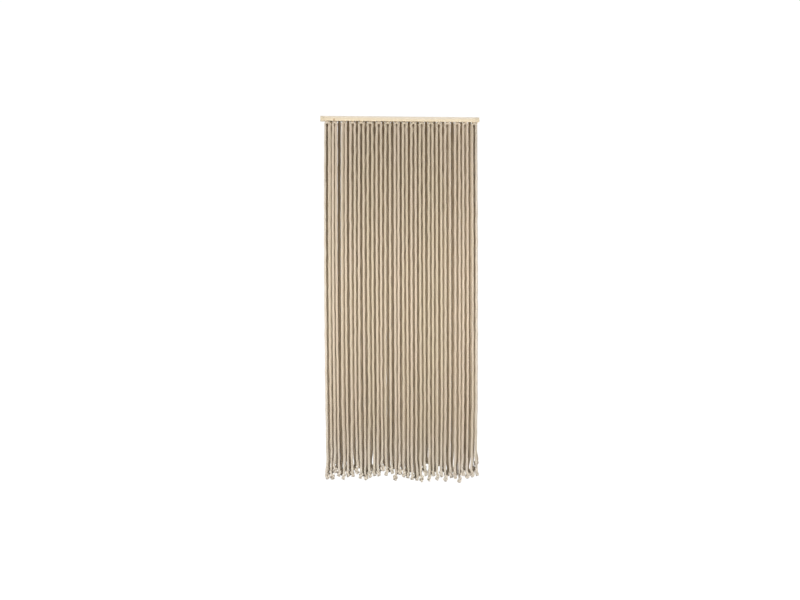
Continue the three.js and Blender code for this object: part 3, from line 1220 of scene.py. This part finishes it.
class CottonFinish(Finish):
    """Undyed cotton rope: cream yarns that run with the rope, painted shade darkening the grooves between
    strands and the furrows between yarns, greyed tails.
    """

    name = "undyed_cotton"
    CREAM = (213, 200, 186)
    WARM = (214, 197, 174)
    ECRU = (205, 195, 174)
    # The next colour is painted shade, laid in the grooves between the strands and the furrows between the
    # yarns.
    GROOVE = (176, 155, 124)
    GREYED = (216, 210, 200)
    YARNS = 36
    YARN_TILT = 95.0

    def __init__(self, streaks: bpy.types.ShaderNodeTree) -> None:
        """Takes the shared group of fine streaks."""
        super().__init__()
        self.streaks = streaks

    def shader(self, wires: Wiring) -> bpy.types.NodeSocket:
        """Wires the cotton."""
        lay = wires.add("ShaderNodeUVMap", uv_map=Threads.LAY_MAP).outputs[0]
        place = wires.add("ShaderNodeTexCoord").outputs["Object"]
        groove, wear, tone = (
            wires.add("ShaderNodeAttribute", attribute_name=key).outputs["Fac"]
            for key in (Threads.GROOVE, Threads.WEAR, Threads.TONE)
        )
        fibres = wires.add("ShaderNodeGroup", node_tree=self.streaks)
        wires.feed(fibres, 0, wires.stretched(lay, (88.0, 420.0, 1.0)))
        wires.feed(fibres, 1, wires.stretched(place, (26.0, 26.0, 11.0)))
        parts = wires.add("ShaderNodeSeparateXYZ")
        wires.feed(parts, 0, lay)
        around = wires.sum("MULTIPLY", parts.outputs[0], 2 * math.pi * self.YARNS)
        tilt = wires.sum("MULTIPLY_ADD", parts.outputs[1], self.YARN_TILT, around)
        wavy = wires.sum("MULTIPLY_ADD", fibres.outputs[0], 1.6, tilt)
        yarn = wires.sum("MULTIPLY_ADD", wires.sum("SINE", wavy), 0.5, 0.5)

        colour = wires.blend(wires.rise(tone, -1.0, 1.0), tint(*self.ECRU), tint(*self.CREAM))
        colour = wires.blend(wires.rise(tone, 0.2, 1.6), colour, tint(*self.WARM))
        # Painted shade: the grooves between the strands and the furrows between the yarns are darkened
        # towards the groove colour.
        colour = wires.blend(wires.sum("MULTIPLY", groove, 0.75), colour, tint(*self.GROOVE))
        furrow = wires.sum("MULTIPLY", wires.sum("SUBTRACT", 1.0, yarn), 0.22)
        colour = wires.blend(furrow, colour, tint(*self.GROOVE))
        colour = wires.blend(wires.sum("MULTIPLY", fibres.outputs[1], 0.10), colour, tint(*self.WARM))
        greyed = wires.sum("MULTIPLY", wear, wires.sum("MULTIPLY_ADD", fibres.outputs[1], 0.35, 0.35))
        colour = wires.blend(greyed, colour, tint(*self.GREYED))

        height = wires.sum("MULTIPLY_ADD", yarn, 0.65, wires.sum("MULTIPLY", fibres.outputs[0], 0.35))
        shader = wires.add("ShaderNodeBsdfPrincipled")
        wires.feed(shader, "Base Color", colour)
        wires.feed(shader, "Roughness", wires.sum("MULTIPLY_ADD", fibres.outputs[0], 0.1, 0.85))
        wires.feed(shader, "Normal", wires.relief(height, 0.55, 0.0005))
        wires.feed(shader, "Specular IOR Level", 0.2)
        wires.feed(shader, "Sheen Weight", 0.05)
        wires.feed(shader, "Sheen Roughness", 0.6)
        return shader.outputs[0]


class ShadedCottonFinish(CottonFinish):
    """The back row's cotton with painted shade: darker copies of the front row's colours, chosen so that the
    front row's gaps look dark as if in the front row's shadow.
    """

    name = "unbleached_cotton"
    CREAM = (188, 175, 157)
    WARM = (192, 173, 149)
    ECRU = (184, 171, 150)
    GROOVE = (158, 138, 109)
    GREYED = (170, 160, 146)


class PineFinish(Finish):
    """Planed, unvarnished softwood: long pale grain, a greyer upper edge, one small pin knot."""

    name = "planed_pine"
    PALE = (229, 215, 190)
    GRAIN = (213, 193, 158)
    EDGE = (226, 216, 200)
    END_GRAIN = (201, 187, 160)
    PIN_KNOT = (176, 138, 97)
    PIN_KNOT_X = -0.373
    PIN_KNOT_SIZE = (0.0065, 0.0080)

    def __init__(self, streaks: bpy.types.ShaderNodeTree) -> None:
        """Takes the shared group of fine streaks."""
        super().__init__()
        self.streaks = streaks

    def shader(self, wires: Wiring) -> bpy.types.NodeSocket:
        """Wires the wood."""
        place = wires.add("ShaderNodeTexCoord").outputs["Object"]
        grain = wires.add("ShaderNodeGroup", node_tree=self.streaks)
        wires.feed(grain, 0, wires.stretched(place, (7.0, 420.0, 420.0)))
        wires.feed(grain, 1, wires.stretched(place, (1.7, 45.0, 60.0)))
        parts = wires.add("ShaderNodeSeparateXYZ")
        wires.feed(parts, 0, place)
        x, z = parts.outputs[0], parts.outputs[2]
        drifting = wires.noise(wires.stretched(place, (1.1, 9.0, 9.0)), 1.0, 1.0)
        ring = wires.sum("MULTIPLY_ADD", drifting, 26.0, 0.0)
        wave = wires.sum("SINE", wires.sum("MULTIPLY_ADD", z, 900.0, ring))
        bands = wires.sum("MULTIPLY_ADD", wave, 0.5, 0.5)
        late = wires.rise(bands, 0.45, 1.0)

        grained = wires.sum("MULTIPLY", grain.outputs[0], 0.34)
        colour = wires.blend(grained, tint(*self.PALE), tint(*self.GRAIN))
        colour = wires.blend(wires.sum("MULTIPLY", late, 0.30), colour, tint(*self.GRAIN))
        upper = wires.rise(wires.sum("MULTIPLY_ADD", grain.outputs[1], 0.004, z), 0.001, 0.008)
        colour = wires.blend(wires.sum("MULTIPLY", upper, 0.75), colour, tint(*self.EDGE))
        reach = wires.rise(wires.sum("ABSOLUTE", x), RAIL_HIGH.x - 0.055, RAIL_HIGH.x)
        colour = wires.blend(wires.sum("MULTIPLY", reach, 0.55), colour, tint(*self.END_GRAIN))
        wide, high = self.PIN_KNOT_SIZE
        across = wires.sum("DIVIDE", wires.sum("SUBTRACT", x, self.PIN_KNOT_X), wide)
        upright = wires.sum("DIVIDE", wires.sum("ADD", z, RAIL_HIGH.z * 0.6), high)
        squares = [wires.sum("MULTIPLY", part, part) for part in (across, upright)]
        spread = wires.sum("ADD", *squares)
        spread = wires.sum("MULTIPLY_ADD", grain.outputs[1], 0.5, spread)
        knot = wires.sum("SUBTRACT", 1.0, wires.rise(spread, 0.25, 1.35))
        colour = wires.blend(wires.sum("MULTIPLY", knot, 0.7), colour, tint(*self.PIN_KNOT))

        height = wires.sum("MULTIPLY_ADD", late, 0.4, wires.sum("MULTIPLY", grain.outputs[0], 0.6))
        shader = wires.add("ShaderNodeBsdfPrincipled")
        wires.feed(shader, "Base Color", colour)
        wires.feed(shader, "Roughness", wires.sum("MULTIPLY_ADD", grain.outputs[0], 0.12, 0.55))
        wires.feed(shader, "Normal", wires.relief(height, 0.35, 0.0003))
        wires.feed(shader, "Specular IOR Level", 0.35)
        return shader.outputs[0]


class PaperFinish(Finish):
    """The studio's white paper floor, which the camera sees almost without shade."""

    name = "white_paper"
    WHITE = (188, 188, 188)
    FLECK = (196, 196, 196)
    GLOW = 1.2
    GLOW_SHARE = 0.85

    def shader(self, wires: Wiring) -> bpy.types.NodeSocket:
        """Wires the paper."""
        place = wires.add("ShaderNodeTexCoord").outputs["Object"]
        shade = wires.blend(wires.noise(place, 3.0), tint(*self.WHITE), tint(*self.FLECK))
        paper = wires.add("ShaderNodeBsdfDiffuse")
        wires.feed(paper, 0, shade)
        glow = wires.add("ShaderNodeEmission")
        wires.feed(glow, "Strength", self.GLOW)
        seen = wires.add("ShaderNodeLightPath").outputs["Is Camera Ray"]
        mixed = wires.add("ShaderNodeMixShader")
        wires.feed(mixed, 0, wires.sum("MULTIPLY", seen, self.GLOW_SHARE))
        wires.feed(mixed, 1, paper.outputs[0])
        wires.feed(mixed, 2, glow.outputs[0])
        return mixed.outputs[0]


# ---------------------------------------------------------------------------------------------
# The curtain's pieces
# ---------------------------------------------------------------------------------------------


def add_piece(name: str, mesh: bpy.types.Mesh) -> bpy.types.Object:
    """Puts a mesh in the scene as an object of its own, at the origin."""
    piece = bpy.data.objects.new(name, mesh)
    bpy.context.scene.collection.objects.link(piece)
    return piece


@dataclass
class RopeRows:
    """Both rows of ropes, tied and settled so that the knots lie beside each other."""

    cotton: CottonFinish
    shaded_cotton: ShadedCottonFinish
    seed: int = 11
    knot_lengths: tuple[float, ...] = (12.4, 12.9, 13.4)
    slot: str = "cotton_rope"
    tone_spread: float = 0.32

    def ropes(self) -> list[Rope]:
        """Every rope of the curtain with its knots tied.

        Returns:
            The front row and then the back row, each left to right.
        """
        rng = np.random.default_rng(self.seed)
        knots = [KnotTying().tie(length) for length in self.knot_lengths]
        front = front_legs()
        ropes = []
        in_front: list[LegLine] = []
        for row, legs in ((Row.FRONT, front), (Row.BACK, back_legs(front, rng))):
            lines = []
            for i, leg in enumerate(legs):
                middle = (legs[i - i % 2].x + legs[i - i % 2 + 1].x) / 2
                start = min(i, len(legs) - 2)
                gap = tuple(in_front[start : start + 2]) if in_front else None
                knot = knots[rng.integers(len(knots))]
                lines.append(LegLine(leg, row, leg.x - middle, knot, rng, gap))
            for i in range(0, len(legs), 2):
                pair = slice(i, i + 2)
                ropes.append(Rope(row, i // 2 + 1, tuple(legs[pair]), tuple(lines[pair]), []))
            in_front = lines
        self._turn_knots(ropes, rng)
        hangers = [Hanger(tied, rope.ridge(), np.zeros(3)) for rope in ropes for tied in rope.tied]
        Settling(hangers).settle()
        for rope in ropes:
            for tied in rope.tied:
                tied.measure()
        return ropes

    def _turn_knots(self, ropes: list[Rope], rng: np.random.Generator) -> None:
        """Turns each knot to the side where it is clearest of what hangs beside it.

        Args:
            ropes: All the ropes, whose tied legs are filled in here.
            rng: The source of the angle that each knot is first tried at.
        """
        foot = RAIL_LOW.z - KNOT_ZONE
        hanging = {}
        for rope in ropes:
            for line in rope.lines:
                depth = np.arange(KNOT_ZONE, line.leg.drop - KNOT_HALF, ZONE_STEP)
                hanging[id(line)] = line.hanging(depth)
        for rope in ropes:
            for line in rope.lines:
                start = rng.uniform(0, 2 * math.pi)
                others = [other for key, other in hanging.items() if key != id(line)]
                best = (-math.inf, None)
                for k in range(TURN_CHOICES):
                    tied = line.laid(start + 2 * math.pi * k / TURN_CHOICES)
                    low = tied.line[tied.line[:, 2] < foot]
                    to_wall = RAIL_HIGH.y - float(low[:, 1].max()) - WALL_CLEARANCE
                    to_side = CURTAIN_REACH - float(np.abs(low[:, 0]).max())
                    room = STOCK.diameter + STRAY_COST * min(to_wall, to_side)
                    gap = min(clearance(low, others), room)
                    if gap > best[0]:
                        best = (gap, tied)
                rope.tied.append(best[1])
                hanging[id(line)] = best[1].line[best[1].line[:, 2] < foot]
                log.debug("%s: the knot is %.1f mm clear", rope.name, best[0] * 1000)

    def build(self) -> None:
        """Makes and dresses every rope and hangs it on the body."""
        for number, rope in enumerate(self.ropes()):
            self._make(rope, np.random.default_rng([self.seed, number]))

    def _make(self, rope: Rope, rng: np.random.Generator) -> None:
        course = rope.course()
        tone = float(rng.normal(0.0, self.tone_spread))
        depth = STOCK.groove_depth if rope.row is Row.FRONT else STOCK.back_groove_depth
        sweep = RopeSweep(course, depth, tone, rng)
        threads = Threads()
        sweep.gather(threads)
        for end, inner in ((0, 1), (-1, -2)):
            heading = course.line[end] - course.line[inner]
            FrayedEnd(course.line[end], heading, sweep.radii[2], rng).gather(threads, tone)
        piece = add_piece(rope.name, threads.mesh(rope.name))
        # The first back rope shows at the curtain's edge, so it is as light as the front row; the other back
        # ropes get the darker cotton with painted shade.
        is_shaded = rope.row is Row.BACK and rope.number > 1
        piece.data.materials.append((self.shaded_cotton if is_shaded else self.cotton).material())
        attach(piece, BODY)
        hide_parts(rope.node)
        log.info("%s: %.3f m of rope, %d faces", rope.name, sweep.runs[-1], len(piece.data.polygons))


@dataclass
class Rail:
    """The planed wooden batten that the ropes hang under, with a groove for the back row's arches."""

    pine: PineFinish
    broken_edge: float = 0.0015
    groove_edge: float = 0.0004
    groove_low: float = -0.020
    groove_high: float = -0.004
    groove_depth: float = 0.015

    LONG = 0.1
    SAME_PLACE = 1e-5

    def build(self) -> bpy.types.Object:
        """Makes the rail: a block with a groove along its underside and its long edges eased."""
        bpy.ops.object.select_all(action="DESELECT")
        size = RAIL_HIGH - RAIL_LOW
        bpy.ops.mesh.primitive_cube_add(size=1, location=(RAIL_LOW + RAIL_HIGH) / 2, scale=size)
        batten = bpy.context.object
        batten.name = "pine_rail"
        batten.data.name = batten.name
        bpy.ops.object.transform_apply(location=True, rotation=True, scale=True)
        self._cut_groove(batten)
        self._ease_edges(batten, self._is_outer, self.broken_edge)
        self._ease_edges(batten, self._is_groove_mouth, self.groove_edge)
        batten.data.materials.append(self.pine.material())
        bpy.ops.object.shade_smooth_by_angle(angle=math.radians(50))
        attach(batten, BODY)
        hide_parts("rail")
        log.info("%s: %d faces", batten.name, len(batten.data.polygons))
        return batten

    def _cut_groove(self, batten: bpy.types.Object) -> None:
        """Cuts the groove out of the batten with a block that runs out past both ends."""
        middle = (self.groove_low + self.groove_high) / 2
        length = 2 * (RAIL_HIGH.x - RAIL_LOW.x)
        size = (length, self.groove_high - self.groove_low, 2 * self.groove_depth)
        bpy.ops.object.select_all(action="DESELECT")
        bpy.ops.mesh.primitive_cube_add(size=1, location=(0.0, middle, RAIL_LOW.z), scale=size)
        plough = bpy.context.object
        bpy.ops.object.transform_apply(location=True, rotation=True, scale=True)
        cut = batten.modifiers.new("groove", "BOOLEAN")
        cut.operation = "DIFFERENCE"
        cut.solver = "EXACT"
        cut.object = plough
        bpy.ops.object.select_all(action="DESELECT")
        batten.select_set(True)
        bpy.context.view_layer.objects.active = batten
        bpy.ops.object.modifier_apply(modifier=cut.name)
        bpy.data.objects.remove(plough)

    @staticmethod
    def _is_outer(first: Vector, second: Vector) -> bool:
        """Whether an edge is one of the batten's four long outer edges."""
        on_side = min(abs(first.y - RAIL_LOW.y), abs(first.y - RAIL_HIGH.y)) < Rail.SAME_PLACE
        on_top = min(abs(first.z - RAIL_LOW.z), abs(first.z - RAIL_HIGH.z)) < Rail.SAME_PLACE
        return abs(second.x - first.x) > Rail.LONG and on_side and on_top

    @staticmethod
    def _is_groove_mouth(first: Vector, second: Vector) -> bool:
        """Whether an edge is one of the two long edges of the groove's mouth."""
        inside = RAIL_LOW.y + 0.01 < first.y < RAIL_HIGH.y - 0.002
        on_underside = abs(first.z - RAIL_LOW.z) < Rail.SAME_PLACE
        return abs(second.x - first.x) > Rail.LONG and inside and on_underside

    @staticmethod
    def _ease_edges(
        batten: bpy.types.Object, chosen: Callable[[Vector, Vector], bool], width: float
    ) -> None:
        """Rounds some of the rail's edges.

        Args:
            batten: The rail.
            chosen: Tells from an edge's two ends whether it is rounded.
            width: How far the rounding reaches from the edge.
        """
        mesh = batten.data
        bpy.ops.object.mode_set(mode="EDIT")
        bpy.ops.mesh.select_mode(type="EDGE")
        bpy.ops.mesh.select_all(action="DESELECT")
        bpy.ops.object.mode_set(mode="OBJECT")
        for edge in mesh.edges:
            first, second = (mesh.vertices[n].co for n in edge.vertices)
            edge.select = chosen(first, second)
        bpy.ops.object.mode_set(mode="EDIT")
        bpy.ops.mesh.bevel(offset=width, segments=3, profile=0.5, affect="EDGES")
        bpy.ops.object.mode_set(mode="OBJECT")


# ---------------------------------------------------------------------------------------------
# The studio
# ---------------------------------------------------------------------------------------------


@dataclass
class Studio:
    """A white studio: a pale floor, tall soft lamps at both sides, fainter ones, and the camera."""

    distance: float = 7.0
    yaw: float = math.radians(3.83)
    lens: float = 55.65
    floor_gap: float = 0.055
    floor_size: float = 60.0
    world_light: float = 0.08
    seen_white: float = 1.02

    def build(self) -> None:
        """Makes the whole studio."""
        self.middle = (CAD_LOW + CAD_HIGH) / 2
        self._camera()
        self._floor()
        self._world()
        self._lamp("left_lamp", (-2.9, -1.75, 0.0), (0.6, 3.4), 132.0)
        self._lamp("right_lamp", (2.9, -1.75, 0.0), (0.6, 3.4), 123.0)
        self._lamp("middle_lamp", (0.0, -1.1, 0.0), (1.4, 0.3), 6.2, (1.0, 0.95, 0.86))
        self._lamp("top_lamp", (0.0, -0.4, 3.0), (1.6, 0.8), 9.0)
        self._lamp("back_lamp", (1.2, 3.4, 0.6), (1.4, 1.4), 90.0)
        bpy.context.scene.view_settings.view_transform = "Standard"

    def _camera(self) -> None:
        """Stands the camera level with the curtain's middle and a little to the left."""
        data = bpy.data.cameras.new("camera")
        data.lens = self.lens
        camera = bpy.data.objects.new("camera", data)
        bpy.context.scene.collection.objects.link(camera)
        back = Vector((-math.sin(self.yaw), -math.cos(self.yaw), 0.0))
        camera.location = self.middle + back * self.distance
        camera.rotation_euler = (math.pi / 2, 0.0, -self.yaw)
        bpy.context.scene.camera = camera

    def _floor(self) -> None:
        """Lays the paper floor just under the tails."""
        bpy.ops.object.select_all(action="DESELECT")
        height = CAD_LOW.z - self.floor_gap
        bpy.ops.mesh.primitive_plane_add(size=self.floor_size, location=(0, 0, height))
        floor = bpy.context.object
        floor.name = "floor"
        floor.data.materials.append(PaperFinish().material())

    def _world(self) -> None:
        """Lights everything softly and shows plain white behind it."""
        world = bpy.data.worlds.new("studio")
        world.use_nodes = True
        world.node_tree.nodes.clear()
        wires = Wiring(world.node_tree)
        seen = wires.add("ShaderNodeLightPath").outputs["Is Camera Ray"]
        strength = wires.sum("MULTIPLY_ADD", seen, self.seen_white - self.world_light, self.world_light)
        light = wires.add("ShaderNodeBackground")
        wires.feed(light, "Color", (1.0, 1.0, 1.0, 1.0))
        wires.feed(light, "Strength", strength)
        wires.feed(wires.add("ShaderNodeOutputWorld"), "Surface", light.outputs[0])
        bpy.context.scene.world = world

    def _lamp(
        self,
        name: str,
        offset: tuple[float, float, float],
        size: tuple[float, float],
        power: float,
        colour: tuple[float, float, float] = (1.0, 1.0, 1.0),
    ) -> None:
        """Hangs one soft box that faces the middle of the curtain.

        Args:
            name: The lamp's name.
            offset: Where it hangs from the middle of the curtain.
            size: Its width and height.
            power: Its power in watts.
            colour: The colour of its light.
        """
        data = bpy.data.lights.new(name, "AREA")
        data.shape = "RECTANGLE"
        data.size, data.size_y = size
        data.energy = power
        data.color = colour
        lamp = bpy.data.objects.new(name, data)
        lamp.visible_camera = False
        lamp.location = self.middle + Vector(offset)
        lamp.rotation_euler = (-Vector(offset)).to_track_quat("-Z", "Y").to_euler()
        bpy.context.scene.collection.objects.link(lamp)


def main() -> None:
    """Builds the studio, the ropes and the rail."""
    logging.basicConfig(level=logging.INFO, format="%(name)s: %(message)s")
    streaks = streaks_group()
    Studio().build()
    RopeRows(CottonFinish(streaks), ShadedCottonFinish(streaks)).build()
    Rail(PineFinish(streaks)).build()


if __name__ == "__main__":
    main()
